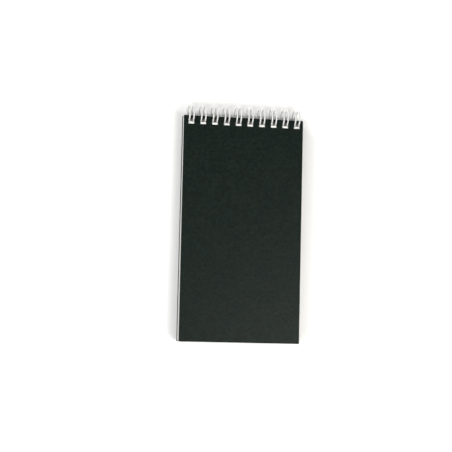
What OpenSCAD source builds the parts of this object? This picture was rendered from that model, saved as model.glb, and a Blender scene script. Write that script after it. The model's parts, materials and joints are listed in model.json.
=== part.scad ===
// Pocket notebook bound along its top short edge with one twin-loop wire:
// two card covers, a stack of loose leaves and the wire that threads them all.
// It lies on its back cover: X is the width, +Y points to the bound edge and +Z
// out of the front cover. The origin is under the middle of the whole notebook.

/* [Covers] */
// Width of a cover, along X
cover_w = 86; // [84:1:100]
// Length of a cover, from the bound edge to the free edge
cover_len = 158; // [100:1:200]
// Thickness of the cover card
cover_t = 0.5; // [0.3:0.1:0.8]
// Corner radius of the cover card
cover_corner_r = 0.5; // [0.2:0.1:2]

/* [Leaves] */
// Number of loose leaves
leaf_count = 50; // [10:1:50]
// Thickness of one leaf
leaf_t = 0.1; // [0.06:0.01:0.1]
// Distance from one leaf to the next where they are bound
leaf_pitch = 0.112; // [0.11:0.001:0.115]
// How far a leaf stays inside the covers along each side edge
leaf_side_inset = 0.5; // [0:0.1:1]
// How far a leaf stops short of the covers' free edge
leaf_end_inset = 0.5; // [0:0.1:1]
// How far the stack fans open between the back cover and the front cover, in degrees
fan_angle = 1.0; // [0:0.1:2]

/* [Punched holes] */
// Width of every hole, along X
hole_w = 4.2; // [4.1:0.1:4.5]
// Height of a hole in a cover
cover_hole_h = 4.0; // [3.6:0.1:4.4]
// Card left between a cover's bound edge and its holes
cover_hole_margin = 1.9; // [1.5:0.1:2]
// Height of a hole in a leaf
leaf_hole_h = 3.4; // [3.2:0.1:3.6]
// Paper left between a leaf's bound edge and its holes
leaf_hole_margin = 1.2; // [0.8:0.1:1.3]
// Play between the wire and the end of a leaf's hole
hole_play = 0.15; // [0.12:0.01:0.2]

/* [Twin-loop wire] */
// Number of twin loops
loop_count = 10; // [6:1:10]
// Loops to the inch
loops_per_inch = 3; // [3]
// Thickness of the coated wire
wire_d = 1.0; // [0.8:0.1:1]
// Radius of a loop, to the middle of the wire
loop_r = 5.5; // [5.4:0.1:6]
// Distance between the two wires of a loop
twin_gap = 2.9; // [2.6:0.1:2.9]
// Distance from the covers' bound edges to the axis of the loops
axis_gap = 1.3; // [1.3:0.1:1.5]
// Shift of the whole row of loops along X
row_shift = 0.4; // [-0.5:0.1:0.5]
// Place of the closing seam: degrees past the lowest point, towards the free edge
seam_angle = 15; // [10:1:20]
// Bend radius where one loop's wire turns off to the next loop
root_bend_r = 1.2; // [1.1:0.1:1.3]
// Straight wire between a loop and its bends at the seam
seam_straight = 0.4; // [0.3:0.1:0.5]

/* [Hidden] */
$fn = 48;

// Spacing of the loops
pitch = 25.4 / loops_per_inch;
// The bound stack, from the outside of one cover to the outside of the other
stack_t = 2 * cover_t + leaf_count * leaf_pitch;
outer_r = loop_r + wire_d / 2;
// Distance from the loops' axis to a leaf's free edge
leaf_reach = cover_len + axis_gap - leaf_end_inset;
leaf_w = cover_w - 2 * leaf_side_inset;
// The loops leave an eighth of a turn open between the two sides of the seam
seam_open = 45;
seam_start = seam_open / 2 - seam_angle;

// Depth below the loops' axis of wire that leaves the circle at an angle from its
// lowest point and runs straight on downwards
function depth_past(angle, run) = loop_r * cos(angle) + run * sin(angle) + wire_d / 2;

// The wire's lowest point is at Z = 0, and the whole length is centred on Y = 0
axis_z = max(
    outer_r,
    depth_past(seam_start, seam_straight + root_bend_r),
    depth_past(seam_open - seam_start, seam_straight + twin_gap / 2)
);
axis_y = (cover_len + axis_gap - outer_r) / 2;

// X of the middle of loop i, from 0
function loop_x(i) = row_shift + (i - (loop_count - 1) / 2) * pitch;

// Height of leaf k's middle over the loops' axis, with leaf 1 under the front cover
function leaf_height(k) = stack_t / 2 - cover_t - (k - 0.5) * leaf_pitch;

// How far the wire runs from the axis, along Y, where it crosses height h
function crossing(h) = sqrt(loop_r * loop_r - h * h);

// Distance from the axis to the free-edge side of leaf k's holes: each leaf rides up
// on the round wire until its holes touch it
function leaf_hole_end(k) = let (c = crossing(leaf_height(k)))
    c + wire_d / 2 * loop_r / c + hole_play;

// How far leaf k has fanned open, in degrees from the back cover
function leaf_fan(k) = fan_angle * (leaf_count + 1 - k) / (leaf_count + 1);

function two_digits(k) = str(k < 10 ? "0" : "", k);
function leaf_name(k) = str("leaf_", two_digits(k));

// Puts what is drawn round the loops' axis in its place, turned open by an angle
module on_loop_axis(open = 0) {
    translate([0, axis_y, axis_z]) rotate([-open, 0, 0]) children();
}

// A row of square-punched holes whose side nearest the free edge is at -far_y
module hole_row(far_y, hole_h) {
    for (i = [0:loop_count - 1])
        translate([loop_x(i) - hole_w / 2, -far_y]) square([hole_w, hole_h]);
}

// A rectangle from -far_y up by len, centred on X, with round corners
module card_outline(w, far_y, len, r) {
    translate([-w / 2, -far_y + r]) square([w, len - 2 * r]);
    translate([-w / 2 + r, -far_y]) square([w - 2 * r, len]);
    for (x = [-1, 1], y = [-far_y + r, -far_y + len - r])
        translate([x * (w / 2 - r), y]) circle(r = r);
}

// A punched card cover whose lower face is at height z over the loops' axis
module cover(z) {
    translate([0, 0, z])
        linear_extrude(height = cover_t)
            difference() {
                card_outline(cover_w, axis_gap + cover_len, cover_len, cover_corner_r);
                hole_row(axis_gap + cover_hole_margin + cover_hole_h, cover_hole_h);
            }
}

module front_cover() {
    color("#232a27") on_loop_axis(fan_angle) cover(stack_t / 2 - cover_t);
}

module back_cover() {
    color("#232a27") on_loop_axis() cover(-stack_t / 2);
}

// Leaf k of the stack, a thin sheet with its own row of holes
module leaf(k) {
    hole_far = leaf_hole_end(k);
    bound_y = -hole_far + leaf_hole_h + leaf_hole_margin;
    color("#f4f3ee")
        on_loop_axis(leaf_fan(k))
            translate([0, 0, leaf_height(k) - leaf_t / 2])
                linear_extrude(height = leaf_t)
                    difference() {
                        translate([-leaf_w / 2, -leaf_reach])
                            square([leaf_w, leaf_reach + bound_y]);
                        hole_row(hole_far, leaf_hole_h);
                    }
}

// Places a part at the seam's root side, or past it by a turn, so that its local Y
// points onward along the wire: over the far point from the leaves to the highest
module at_seam(turn = 0) {
    rotate([0, 90, 0])
        rotate([0, 0, seam_start]) rotate([0, 0, turn])
            translate([loop_r, 0, 0]) children();
}

// A straight stretch of wire along +Y, from the origin
module wire_straight(len) {
    rotate([-90, 0, 0]) cylinder(d = wire_d, h = len);
}

// A bend in the wire: it starts at the origin along +Y and turns towards side * Z
module wire_bend(r, turn, side) {
    translate([0, 0, side * r])
        rotate([0, side * 90, 0])
            rotate_extrude(angle = turn) translate([r, 0]) circle(d = wire_d);
}

// One round wire of a loop, from the seam's root side round to its tip side
module loop_wire(x) {
    translate([x, 0, 0])
        rotate([0, 90, 0]) rotate([0, 0, seam_start])
            rotate_extrude(angle = 360 - seam_open)
                translate([loop_r, 0]) circle(d = wire_d);
}

// The closed end of a loop, where its two wires are one bend
module loop_tip(i) {
    translate([loop_x(i) + twin_gap / 2, 0, 0])
        at_seam(-seam_open) {
            wire_straight(seam_straight);
            translate([0, 0, -twin_gap]) wire_straight(seam_straight);
            translate([0, seam_straight, 0]) wire_bend(twin_gap / 2, 180, -1);
        }
}

// The wire between two neighbouring loops, on the other side of the seam
module loop_root(i) {
    bar = pitch - twin_gap - 2 * root_bend_r;
    translate([loop_x(i) + twin_gap / 2, 0, 0])
        at_seam()
            rotate([180, 0, 0]) {
                wire_straight(seam_straight);
                translate([0, 0, -bar - 2 * root_bend_r]) wire_straight(seam_straight);
                translate([0, seam_straight, 0]) {
                    wire_bend(root_bend_r, 90, -1);
                    translate([0, root_bend_r, -root_bend_r - bar])
                        cylinder(d = wire_d, h = bar);
                    translate([0, 0, -2 * root_bend_r - bar])
                        wire_bend(root_bend_r, 90, 1);
                }
            }
}

// The whole binding is one length of wire
module wire_binding() {
    color("#eeeeea")
        on_loop_axis() {
            for (i = [0:loop_count - 1]) {
                loop_wire(loop_x(i) - twin_gap / 2);
                loop_wire(loop_x(i) + twin_gap / 2);
                loop_tip(i);
            }
            for (i = [0:loop_count - 2]) loop_root(i);
        }
}

front_cover();
for (k = [1:leaf_count])
    leaf(k);
back_cover();
wire_binding();
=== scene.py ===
"""The looks of a pocket notebook bound with twin-loop wire, built round its CAD frame.

Everything is in metres. X is the notebook's width, +Y points to the bound edge and +Z
out of the front cover. Each cover and leaf is a punched sheet measured from its CAD solid,
and the wire is swept along one path that runs through all ten loops.
"""

import json
import math
import random

import bmesh
import bpy
from mathutils import Euler, Matrix, Vector


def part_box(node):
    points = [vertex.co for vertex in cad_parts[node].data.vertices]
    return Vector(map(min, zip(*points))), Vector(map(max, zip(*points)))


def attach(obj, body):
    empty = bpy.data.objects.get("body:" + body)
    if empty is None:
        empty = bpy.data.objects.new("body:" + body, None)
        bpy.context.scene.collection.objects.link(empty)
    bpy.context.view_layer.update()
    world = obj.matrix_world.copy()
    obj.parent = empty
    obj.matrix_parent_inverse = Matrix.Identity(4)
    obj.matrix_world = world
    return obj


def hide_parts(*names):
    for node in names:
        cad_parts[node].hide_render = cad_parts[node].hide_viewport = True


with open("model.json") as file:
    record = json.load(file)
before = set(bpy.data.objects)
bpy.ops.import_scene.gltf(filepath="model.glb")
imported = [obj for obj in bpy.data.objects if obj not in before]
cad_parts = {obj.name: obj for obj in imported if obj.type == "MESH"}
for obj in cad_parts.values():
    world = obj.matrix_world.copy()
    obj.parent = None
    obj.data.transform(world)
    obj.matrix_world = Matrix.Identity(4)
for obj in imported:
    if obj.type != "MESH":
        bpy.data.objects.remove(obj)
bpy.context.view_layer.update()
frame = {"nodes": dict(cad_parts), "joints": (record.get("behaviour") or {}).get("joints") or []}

MM = 0.001
SEED = 7
LEAF_COUNT = sum(name.startswith("leaf_") for name in frame["nodes"])

# The axis of the loops, which every joint turns about
AXIS = Vector(frame["joints"][0]["pos_m"])

# The wire, as it is bent before it is threaded
LOOP_COUNT = 10
WIRE_D = 1.0 * MM
TWIN_GAP = 2.9 * MM
SEAM_START = math.radians(7.5)
SEAM_OPEN = math.radians(45)
SEAM_STRAIGHT = 0.4 * MM
ROOT_BEND_R = 1.2 * MM
# A loop's lean and a leaf's slip together stay within the holes' play of 0.15 mm
LOOP_LEAN = 0.08 * MM
CUT_BURR = 0.08 * MM

# How finely the wire is drawn, and how near two of its points are when they are one
LOOP_STEPS = 72
BEND_STEPS = 8
SECTION_RESOLUTION = 6
WELD_DISTANCE = 0.001 * MM

# Punched card and paper. Nothing within the hole margin of a sheet's edge is a hole,
# and a face counts as facing up when its normal's Z is past a half
FACING_UP = 0.5
COVER_CORNER_R = 0.5 * MM
LEAF_CORNER_R = 0.2 * MM
COVER_HOLE_R = 0.3 * MM
LEAF_HOLE_R = 0.25 * MM
SMALLEST_R = 0.02 * MM
CORNER_STEPS = 3
COVER_EDGE_ROUND = 0.07 * MM
RIM_WIDTH = 0.35 * MM
HOLE_MARGIN = 0.8 * MM
LEAF_SLIP_X = 0.05 * MM
LEAF_SLIP_Y = 0.12 * MM
LEAF_SKEW = math.radians(0.02)

# Linear colours. A pair holds the two ends of a slow drift over the surface
CARD_DYE = (0.0036, 0.0090, 0.0074), (0.0050, 0.0100, 0.0072)
CARD_FIBRE = (0.026, 0.034, 0.029)
CARD_WORN = (0.056, 0.060, 0.053)
PAPER_SHEET = (0.800, 0.796, 0.776), (0.838, 0.835, 0.817)
PAPER_FIBRE = (0.70, 0.69, 0.655)
# Painted shade: the darker tone of the cut edges stands in for the shade between stacked leaves
PAPER_EDGE_SHADE = (0.560, 0.556, 0.542)
WIRE_COATING = (0.672, 0.676, 0.662), (0.712, 0.716, 0.702)
COATING_SCUFF = (0.52, 0.52, 0.505)
BARE_STEEL = (0.23, 0.23, 0.235)
FLOOR_COLOUR = (0.95, 0.95, 0.95)
SURROUND_COLOUR = (0.97, 0.98, 1.0)

FLOOR_HALF_SIZE = 0.9


def add_object(name, data):
    """A new object, linked into the scene."""
    made = bpy.data.objects.new(name, data)
    bpy.context.scene.collection.objects.link(made)
    return made


# ---------------------------------------------------------------- node materials

class Nodes:
    """Short calls for building one material's node tree."""

    def __init__(self, name):
        self.material = bpy.data.materials.new(name)
        self.material.use_nodes = True
        self.tree = self.material.node_tree
        self.shader = self.tree.nodes["Principled BSDF"]
        self.coords = self.tree.nodes.new("ShaderNodeTexCoord").outputs["Object"]

    def put(self, value, socket):
        if isinstance(value, bpy.types.NodeSocket):
            self.tree.links.new(value, socket)
        else:
            socket.default_value = value

    def stretched(self, scale, turn=0.0):
        """Object coordinates, turned about Z by degrees and then scaled, per metre."""
        turned = self.tree.nodes.new("ShaderNodeMapping")
        turned.inputs["Rotation"].default_value = (0, 0, math.radians(turn))
        self.put(self.coords, turned.inputs["Vector"])
        node = self.tree.nodes.new("ShaderNodeMapping")
        node.inputs["Scale"].default_value = scale
        self.put(turned.outputs["Vector"], node.inputs["Vector"])
        return node.outputs["Vector"]

    def noise(self, size, detail, roughness, vector=None):
        """Noise from 0 to 1 whose features are about size metres across."""
        node = self.tree.nodes.new("ShaderNodeTexNoise")
        self.put(vector or self.coords, node.inputs["Vector"])
        node.inputs["Scale"].default_value = 1 / size
        node.inputs["Detail"].default_value = detail
        node.inputs["Roughness"].default_value = roughness
        return node.outputs["Fac"]

    def math(self, operation, *values):
        node = self.tree.nodes.new("ShaderNodeMath")
        node.operation = operation
        for value, socket in zip(values, node.inputs):
            self.put(value, socket)
        return node.outputs["Value"]

    def ramp(self, value, low, high, to_low=0.0, to_high=1.0):
        """Value from low to high, smoothly mapped to to_low up to to_high."""
        node = self.tree.nodes.new("ShaderNodeMapRange")
        node.interpolation_type = "SMOOTHSTEP"
        for socket, number in zip(node.inputs, (value, low, high, to_low, to_high)):
            self.put(number, socket)
        return node.outputs["Result"]

    def mix(self, share, a, b):
        """Colour a, turning into colour b as share goes from 0 to 1."""
        node = self.tree.nodes.new("ShaderNodeMix")
        node.data_type = "RGBA"
        for value, socket in zip((share, a, b), (node.inputs[0], node.inputs[6], node.inputs[7])):
            self.put((*value, 1) if isinstance(value, tuple) else value, socket)
        return node.outputs[2]

    def shade(self, colour, factor):
        """A colour made lighter or darker by a factor."""
        node = self.tree.nodes.new("ShaderNodeVectorMath")
        node.operation = "SCALE"
        self.put(colour, node.inputs["Vector"])
        self.put(factor, node.inputs["Scale"])
        return node.outputs["Vector"]

    def attribute(self, name):
        node = self.tree.nodes.new("ShaderNodeAttribute")
        node.attribute_name = name
        return node.outputs["Fac"]

    def leaf_tone(self):
        """A steady number from 0 to 1 for each object."""
        return self.tree.nodes.new("ShaderNodeObjectInfo").outputs["Random"]

    def bump(self, height, distance, under=None):
        node = self.tree.nodes.new("ShaderNodeBump")
        node.inputs["Distance"].default_value = distance
        self.put(height, node.inputs["Height"])
        if under:
            self.put(under, node.inputs["Normal"])
        return node.outputs["Normal"]

    def finish(self, colour, roughness, normal, **constants):
        self.put(colour, self.shader.inputs["Base Color"])
        self.put(roughness, self.shader.inputs["Roughness"])
        self.put(normal, self.shader.inputs["Normal"])
        for name, value in constants.items():
            self.shader.inputs[name.replace("_", " ")].default_value = value
        return self.material


def fibres(n, size, slenderness, turns, low, high):
    """Short stray fibres lying at several angles: 1 on a fibre, 0 off it.

    The coordinates are scaled to a fibre's width and length, so the noise has size 1.
    """
    found = None
    for turn in turns:
        along = n.stretched((1 / size, 1 / (size * slenderness), 1 / size), turn)
        one = n.ramp(n.noise(1.0, 1.0, 0.4, along), low, high)
        found = one if found is None else n.math("MAXIMUM", found, one)
    return found


def card_material():
    """Black card, dyed through, with a slight green cast and a felt-marked surface."""
    n = Nodes("black_card")
    cloud = n.noise(11 * MM, 3.0, 0.55)
    mottle = n.noise(1.9 * MM, 4.0, 0.62)
    grain = n.noise(0.32 * MM, 2.0, 0.6)
    threads = fibres(n, 0.22 * MM, 9, (-38, 17, 71), 0.66, 0.76)
    rim = n.attribute("rim")

    dyed = n.mix(n.ramp(cloud, 0.38, 0.62), *CARD_DYE)
    tone = n.math("ADD", n.ramp(mottle, 0.3, 0.7, -0.38, 0.38), n.ramp(grain, 0.25, 0.75, -0.52, 0.52))
    dyed = n.shade(dyed, n.math("ADD", tone, 1.0))
    dyed = n.mix(n.math("MULTIPLY", threads, 0.40), dyed, CARD_FIBRE)

    worn = n.math("MULTIPLY", n.ramp(rim, 0.25, 1.0), n.ramp(n.noise(0.9 * MM, 3.0, 0.6), 0.46, 0.66))
    colour = n.mix(n.math("MULTIPLY", worn, 0.45), dyed, CARD_WORN)

    felt = n.bump(mottle, 0.030 * MM)
    relief = n.math("ADD", n.math("MULTIPLY", grain, 0.8), n.math("MULTIPLY", threads, 0.35))
    roughness = n.ramp(mottle, 0.3, 0.7, 0.37, 0.45)
    return n.finish(colour, roughness, n.bump(relief, 0.018 * MM, felt),
                    Specular_IOR_Level=0.16)


def paper_material():
    """Uncoated white writing paper, darker along its cut edges, where the darkening is painted shade
    for the shade between the stacked leaves.
    """
    n = Nodes("white_paper")
    pulp = n.noise(2.6 * MM, 4.0, 0.6)
    tooth = n.noise(0.24 * MM, 2.0, 0.6)
    threads = fibres(n, 0.16 * MM, 8, (-55, 28), 0.64, 0.74)
    rim = n.attribute("rim")

    sheet = n.mix(n.ramp(pulp, 0.35, 0.65), *PAPER_SHEET)
    sheet = n.shade(sheet, n.ramp(n.leaf_tone(), 0.0, 1.0, 0.965, 1.015))
    sheet = n.mix(n.math("MULTIPLY", threads, 0.16), sheet, PAPER_FIBRE)
    # painted shade: the cut edges, and a rim's width inside them, darken for the shade between stacked
    # leaves
    colour = n.mix(n.math("MULTIPLY", n.ramp(rim, 0.5, 1.0), 0.85), sheet, PAPER_EDGE_SHADE)

    height = n.math("ADD", n.math("MULTIPLY", pulp, 0.4), n.math("MULTIPLY", tooth, 0.6))
    return n.finish(colour, n.ramp(tooth, 0.3, 0.7, 0.86, 0.95), n.bump(height, 0.012 * MM),
                    Specular_IOR_Level=0.3)


def coating_material():
    """Smooth white nylon coating on steel wire, bare where the wire was cut."""
    n = Nodes("white_coated_wire")
    flow = n.noise(3.5 * MM, 2.0, 0.5)
    peel = n.noise(0.35 * MM, 2.0, 0.55)
    scuffs = n.ramp(n.noise(0.8 * MM, 4.0, 0.7), 0.62, 0.72)
    cut = n.attribute("cut")

    coat = n.mix(n.ramp(flow, 0.35, 0.65), *WIRE_COATING)
    coat = n.mix(n.math("MULTIPLY", scuffs, 0.22), coat, COATING_SCUFF)
    colour = n.mix(n.ramp(cut, 0.4, 0.6), coat, BARE_STEEL)

    roughness = n.math("ADD", n.ramp(peel, 0.3, 0.7, 0.27, 0.35), n.math("MULTIPLY", scuffs, 0.18))
    return n.finish(colour, roughness, n.bump(peel, 0.010 * MM),
                    Specular_IOR_Level=0.5, Coat_Weight=0.15, Coat_Roughness=0.2)


# ---------------------------------------------------------------- covers and leaves

def sheet_plan(node):
    """Measures a CAD sheet in its own plane, which may be tilted about the loops' axis.

    Gives the matrix back to its place, its two corners, and each hole's left, far,
    right and near sides.
    """
    mesh = frame["nodes"][node].data
    up = max((p for p in mesh.polygons if p.normal.z > FACING_UP), key=lambda p: p.area).normal
    place = Matrix.Translation(AXIS) @ Matrix.Rotation(-math.atan2(up.y, up.z), 4, "X")
    back = place.inverted()
    flat = [back @ v.co for v in mesh.vertices]
    low, high = Vector(map(min, *flat)), Vector(map(max, *flat))
    inner = [v for v in flat if low.x + HOLE_MARGIN < v.x < high.x - HOLE_MARGIN
             and low.y + HOLE_MARGIN < v.y < high.y - HOLE_MARGIN]
    sides = sorted({round(v.x, 6) for v in inner})
    assert len(sides) == 2 * LOOP_COUNT, f"{node} has {len(sides)} hole sides"
    far, near = min(v.y for v in inner), max(v.y for v in inner)
    holes = [(left, far, right, near) for left, right in zip(sides[::2], sides[1::2])]
    return place, low, high, holes


def round_rectangle(left, far, right, near, r):
    """Points anticlockwise round a rectangle with round corners."""
    middles = ((right - r, near - r), (left + r, near - r), (left + r, far + r), (right - r, far + r))
    points = []
    for quarter, (x, y) in enumerate(middles):
        for k in range(CORNER_STEPS + 1):
            turn = math.pi / 2 * (quarter + k / CORNER_STEPS)
            points.append((x + r * math.cos(turn), y + r * math.sin(turn)))
    return points


def edge_profile(edge_round):
    """Steps from a flat face out to the cut edge: how far in, how far down, and rim."""
    turns = [math.pi / 4 * k for k in range(3)] if edge_round else [math.pi / 2]
    return [(RIM_WIDTH, 0.0, 0.0)] + [
        (edge_round * (1 - math.sin(t)), edge_round * (1 - math.cos(t)), 1.0) for t in turns
    ]


def punched_sheet(node, name, corner_r, hole_r, edge_round):
    """A clean closed sheet in the place of a CAD one, with round hole corners.

    The vertex attribute rim is 1 on the cut edges and falls to 0 a rim's width inside.
    """
    place, low, high, holes = sheet_plan(node)
    profile = edge_profile(edge_round)
    steps = [(inset, high.z - down, rim) for inset, down, rim in profile]
    steps += [(inset, low.z + down, rim) for inset, down, rim in reversed(profile)]
    bm = bmesh.new()
    rim_layer = bm.verts.layers.float.new("rim")

    def wall(sides, r, way):
        """One cut edge, whose rings move into the sheet: way is 1 outside and -1 in a hole."""
        left, far, right, near = sides
        rings = []
        for inset, z, rim in steps:
            d = inset * way
            outline = round_rectangle(left + d, far + d, right - d, near - d, max(r - d, SMALLEST_R))
            rings.append([bm.verts.new((x, y, z)) for x, y in outline])
            for v in rings[-1]:
                v[rim_layer] = rim
        for above, below in zip(rings, rings[1:]):
            for k in range(len(above)):
                bm.faces.new((above[k - 1], below[k - 1], below[k], above[k]))
        return rings[0], rings[-1]

    walls = [wall((low.x, low.y, high.x, high.y), corner_r, 1)]
    walls += [wall(hole, hole_r, -1) for hole in holes]
    for face, normal in ((0, (0, 0, 1)), (1, (0, 0, -1))):
        rings = [pair[face] for pair in walls]
        edges = [bm.edges.get((ring[k - 1], ring[k])) for ring in rings for k in range(len(ring))]
        bmesh.ops.triangle_fill(bm, use_beauty=True, edges=edges, normal=normal)
    bmesh.ops.recalc_face_normals(bm, faces=bm.faces)
    bm.transform(place)

    mesh = bpy.data.meshes.new(name)
    bm.to_mesh(mesh)
    bm.free()
    return add_object(name, mesh)


def dress(piece, node, material):
    """Gives a piece its material and puts it in the place of a CAD node."""
    piece.data.materials.append(material)
    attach(piece, node)
    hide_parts(node)


def make_cover(node, material):
    piece = punched_sheet(node, f"{node}_card", COVER_CORNER_R, COVER_HOLE_R, COVER_EDGE_ROUND)
    dress(piece, node, material)


def make_leaf(number, material, draw):
    """A leaf, lying a little out of line with its neighbours, as loose leaves do."""
    node = f"leaf_{number:02d}"
    piece = punched_sheet(node, f"{node}_sheet", LEAF_CORNER_R, LEAF_HOLE_R, 0.0)
    slip = Vector((draw.uniform(-1, 1) * LEAF_SLIP_X, draw.uniform(-1, 1) * LEAF_SLIP_Y, 0))
    skew = Matrix.Rotation(draw.uniform(-1, 1) * LEAF_SKEW, 4, "Z")
    bound = Matrix.Translation(AXIS)
    piece.data.transform(Matrix.Translation(slip) @ bound @ skew @ bound.inverted())
    dress(piece, node, material)


# ---------------------------------------------------------------- the wire

def arc(centre, start, side, turn, steps):
    """Points round a centre, turning from start towards side by an angle, start left out."""
    return [centre + start * math.cos(turn * k / steps) + side * math.sin(turn * k / steps)
            for k in range(1, steps + 1)]


def wire_path(draw):
    """The middle of the wire, from its free end at the first loop to that at the last."""
    low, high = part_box("wire_binding")
    loop_r = high.y - AXIS.y - WIRE_D / 2
    first = low.x + (WIRE_D + TWIN_GAP) / 2
    pitch = (high.x - low.x - WIRE_D - TWIN_GAP) / (LOOP_COUNT - 1)
    across = Vector((1, 0, 0))

    def radial(angle):
        """From the axis to the wire, with angle 0 straight down and a quarter turn at +Y."""
        return Vector((0, math.sin(angle), -math.cos(angle)))

    def onward(angle):
        return Vector((0, math.cos(angle), math.sin(angle)))

    def on_loop(x, angle):
        return Vector((x, AXIS.y, AXIS.z)) + radial(angle) * loop_r

    tip = SEAM_START + 2 * math.pi - SEAM_OPEN
    lean = [draw.uniform(-1, 1) * LOOP_LEAN for _ in range(LOOP_COUNT)]
    path = []

    def add(points, index, share=0.0):
        """Adds points, leaning sideways more the further they stand off the leaves.

        The share is how far they have gone over from this loop's lean to the next one's.
        """
        for p in points:
            amount = lean[index]
            if share and index + 1 < LOOP_COUNT:
                amount += (lean[index + 1] - amount) * share
            off = (p.y - AXIS.y + loop_r) / (2 * loop_r)
            path.append(p + across * amount * off * off)

    for i in range(LOOP_COUNT):
        left = first + i * pitch - TWIN_GAP / 2
        right = left + TWIN_GAP
        angles = [SEAM_START + (tip - SEAM_START) * k / LOOP_STEPS for k in range(LOOP_STEPS + 1)]
        add([on_loop(left, a) for a in angles], i)
        # the closed tip, where the loop's two wires are one bend
        out = onward(tip)
        half = across * TWIN_GAP / 2
        middle = on_loop(left, tip) + out * SEAM_STRAIGHT + half
        add([middle - half], i)
        add(arc(middle, -half, out * TWIN_GAP / 2, math.pi, 2 * BEND_STEPS), i)
        add([on_loop(right, a) for a in reversed(angles)], i)
        if i + 1 == LOOP_COUNT:
            break
        # the straight bar to the next loop, between two quarter bends
        out = -onward(SEAM_START)
        straight = on_loop(right, SEAM_START) + out * SEAM_STRAIGHT
        bend = across * ROOT_BEND_R
        side = out * ROOT_BEND_R
        add([straight], i)
        add(arc(straight + bend, -bend, side, math.pi / 2, BEND_STEPS), i, 0.3)
        far = straight + across * (pitch - TWIN_GAP)
        add(arc(far - bend, side, bend, math.pi / 2, BEND_STEPS), i, 0.7)
        add([far], i, 1.0)
    return path


def make_wire(material, draw):
    """The wire, swept round along its path, with both ends cut off flat."""
    path = wire_path(draw)
    curve = bpy.data.curves.new("wire_path", "CURVE")
    curve.dimensions = "3D"
    curve.bevel_depth = WIRE_D / 2
    curve.bevel_resolution = SECTION_RESOLUTION
    curve.use_fill_caps = True
    spline = curve.splines.new("POLY")
    spline.points.add(len(path) - 1)
    for point, place in zip(spline.points, path):
        point.co = (*place, 1)
    swept = add_object("wire_path", curve)
    bpy.context.view_layer.update()
    mesh = bpy.data.meshes.new_from_object(swept.evaluated_get(bpy.context.evaluated_depsgraph_get()))
    mesh.name = "wire_loops"
    bpy.data.objects.remove(swept)

    bm = bmesh.new()
    bm.from_mesh(mesh)
    cut = bm.verts.layers.float.new("cut")
    bmesh.ops.remove_doubles(bm, verts=bm.verts, dist=WELD_DISTANCE)
    ends = [f for f in bm.faces if len(f.verts) > 4]
    bmesh.ops.bevel(bm, geom=[e for f in ends for e in f.edges], offset=CUT_BURR, segments=2,
                    profile=0.5, affect="EDGES")
    for f in bm.faces:
        f.smooth = len(f.verts) <= 4
        if not f.smooth:
            for v in f.verts:
                v[cut] = 1.0
    bm.to_mesh(mesh)
    bm.free()
    dress(add_object("wire_loops", mesh), "wire_binding", material)


# ---------------------------------------------------------------- studio

def make_floor():
    """A plain pale floor that the notebook lies on."""
    bm = bmesh.new()
    bmesh.ops.create_grid(bm, x_segments=1, y_segments=1, size=FLOOR_HALF_SIZE)
    mesh = bpy.data.meshes.new("floor")
    bm.to_mesh(mesh)
    bm.free()
    floor = add_object("floor", mesh)
    material = bpy.data.materials.new("pale_floor")
    material.use_nodes = True
    shader = material.node_tree.nodes["Principled BSDF"]
    shader.inputs["Base Color"].default_value = (*FLOOR_COLOUR, 1)
    shader.inputs["Roughness"].default_value = 0.9
    shader.inputs["Specular IOR Level"].default_value = 0.1
    mesh.materials.append(material)


def add_softbox(name, place, aim, size, power, colour=(1, 1, 1)):
    """A square area light at place, facing aim."""
    light = bpy.data.lights.new(name, "AREA")
    light.shape = "SQUARE"
    light.size = size
    light.energy = power
    light.color = colour
    lamp = add_object(name, light)
    lamp.location = place
    lamp.rotation_euler = (Vector(aim) - Vector(place)).to_track_quat("-Z", "Y").to_euler()


def make_surround():
    """A studio whose walls are pale near the floor and whose ceiling is dim."""
    world = bpy.data.worlds.new("surround")
    world.use_nodes = True
    nodes, links = world.node_tree.nodes, world.node_tree.links
    direction = nodes.new("ShaderNodeTexCoord")
    split = nodes.new("ShaderNodeSeparateXYZ")
    fade = nodes.new("ShaderNodeMapRange")
    for name, value in (("From Min", 0.02), ("From Max", 0.6), ("To Min", 1.0), ("To Max", 0.11)):
        fade.inputs[name].default_value = value
    links.new(direction.outputs["Generated"], split.inputs["Vector"])
    links.new(split.outputs["Z"], fade.inputs["Value"])
    links.new(fade.outputs["Result"], nodes["Background"].inputs["Strength"])
    nodes["Background"].inputs["Color"].default_value = (*SURROUND_COLOUR, 1)
    bpy.context.scene.world = world


def make_lights():
    """A key light over the top left, a side light that the card faintly mirrors at its
    bottom right, and a weak fill on the left."""
    add_softbox("key_light", (-0.75, 0.78, 0.60), (0, 0.03, 0), 0.20, 7.4, (1.0, 0.99, 0.97))
    add_softbox("side_light", (0.34, -0.28, 0.62), (0.01, -0.03, 0), 0.42, 4.5, (1.0, 0.98, 0.92))
    add_softbox("fill_light", (-0.55, -0.35, 0.75), (0, 0, 0), 0.60, 4.2)
    bpy.context.scene.view_settings.view_transform = "Standard"


def make_camera():
    """Nearly overhead, leaning to the notebook's left side and a little to its free edge."""
    lean = Euler([math.radians(a) for a in (2.84, -11.98, 1.51)], "XYZ")
    aim = Vector((-10.4, -1.1, 6.5)) * MM
    distance = 1.0536
    camera_data = bpy.data.cameras.new("camera")
    camera_data.sensor_width = 36
    camera_data.lens = 119.47
    camera_data.clip_start = 0.05
    camera = add_object("camera", camera_data)
    camera.rotation_euler = lean
    camera.location = aim + lean.to_matrix() @ Vector((0, 0, distance))
    bpy.context.scene.camera = camera


make_camera()
make_surround()
make_lights()
make_floor()

card = card_material()
paper = paper_material()
coating = coating_material()
draw = random.Random(SEED)
make_cover("front_cover", card)
make_cover("back_cover", card)
for number in range(1, LEAF_COUNT + 1):
    make_leaf(number, paper, draw)
make_wire(coating, draw)
